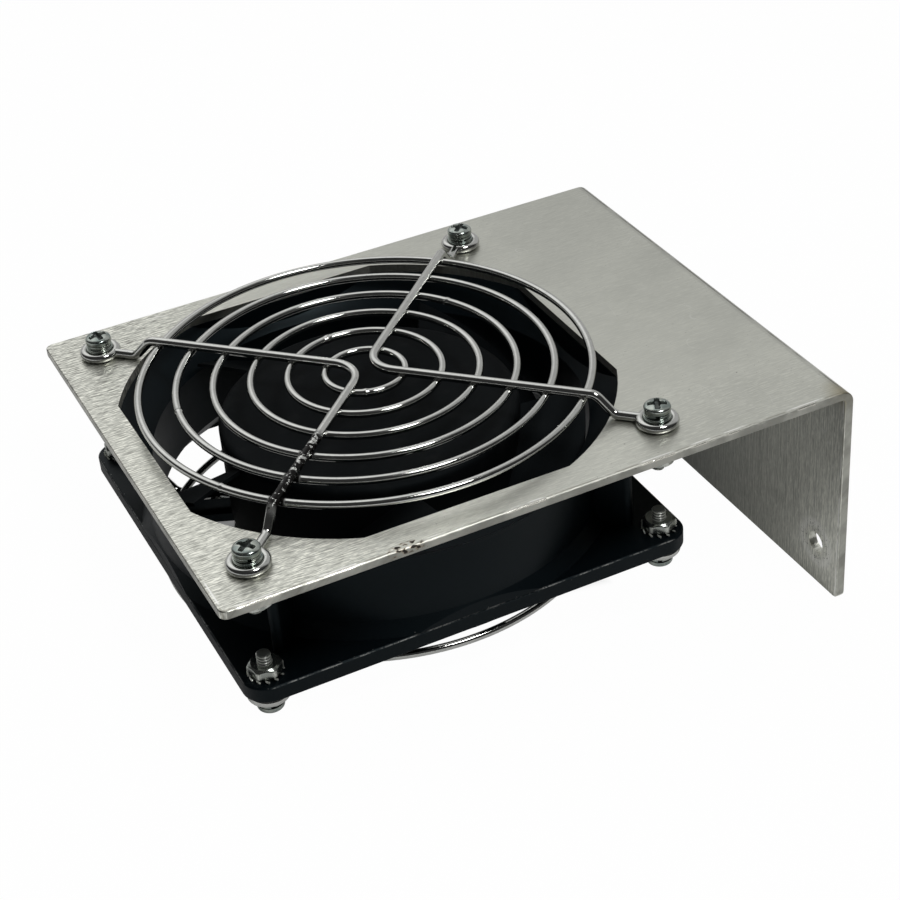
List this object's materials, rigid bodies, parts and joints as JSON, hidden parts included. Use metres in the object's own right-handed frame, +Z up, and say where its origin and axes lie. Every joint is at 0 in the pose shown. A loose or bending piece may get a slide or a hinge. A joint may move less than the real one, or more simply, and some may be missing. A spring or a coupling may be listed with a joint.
{
  "type": "axial fan",
  "caption": "Square axial fan with a black housing and wire finger guards, hung under a folded aluminium bracket whose flange is screwed to a wall.",
  "frame": {"origin": "midway between the two mounting holes, on the outer face of the bracket's folded flange", "axes": "+X points out of the flange's outer face, +Z is up along the flange towards the plate and along the fan's axis, +Y runs along the flange"},
  "size_m": [0.164, 0.13, 0.0713],
  "materials": {
    "sheet_aluminium": "brushed",
    "black_casting": "satin black",
    "impeller_plastic": "matte",
    "chrome_wire": "bright plated",
    "zinc_steel": "zinc plated",
    "bright_steel": "ground",
    "core_steel": "plain sheet",
    "cage_aluminium": "cast",
    "brass_parts": "plain",
    "bronze_bearing": "sintered",
    "copper_wire": "enamelled copper wire",
    "black_plastic": "matte",
    "white_plastic": "matte",
    "lead_plastic": "insulated lead"
  },
  "bodies": {
    "frame": {"mounting_bracket": "sheet_aluminium", "fan_housing": "black_casting", "bearing_tube": "brass_parts", "upper_bearing": "bronze_bearing", "lower_bearing": "bronze_bearing", "bearing_cap": "black_plastic", "stator_core": "core_steel", "coil_bobbins": "white_plastic", "stator_windings": "copper_wire", "motor_leads": "lead_plastic", "terminal_block": "black_plastic", "spade_terminals": "brass_parts", "upper_guard_rings": "chrome_wire", "upper_guard_supports": "chrome_wire", "lower_guard_rings": "chrome_wire", "lower_guard_supports": "chrome_wire", "upper_screws": "zinc_steel", "upper_lock_washers": "zinc_steel", "upper_flat_washers": "zinc_steel", "upper_tooth_washers": "zinc_steel", "upper_nuts": "zinc_steel", "lower_screws": "zinc_steel", "lower_lock_washers": "zinc_steel", "lower_flat_washers": "zinc_steel", "lower_tooth_washers": "zinc_steel", "lower_nuts": "zinc_steel"},
    "rotor": {"impeller": "impeller_plastic", "rotor_cup": "core_steel", "rotor_core": "core_steel", "rotor_cage": "cage_aluminium", "shaft_bushing": "brass_parts", "rotor_shaft": "bright_steel", "upper_thrust_washer": "white_plastic", "lower_thrust_washer": "white_plastic", "retaining_clip": "bright_steel"}
  },
  "joints": [
    {"name": "rotor_spin", "type": "hinge", "parent": "frame", "child": "rotor", "pos_m": [-0.1, 0, 0.03], "axis": [0, 0, 1], "continuous": true}
  ]
}
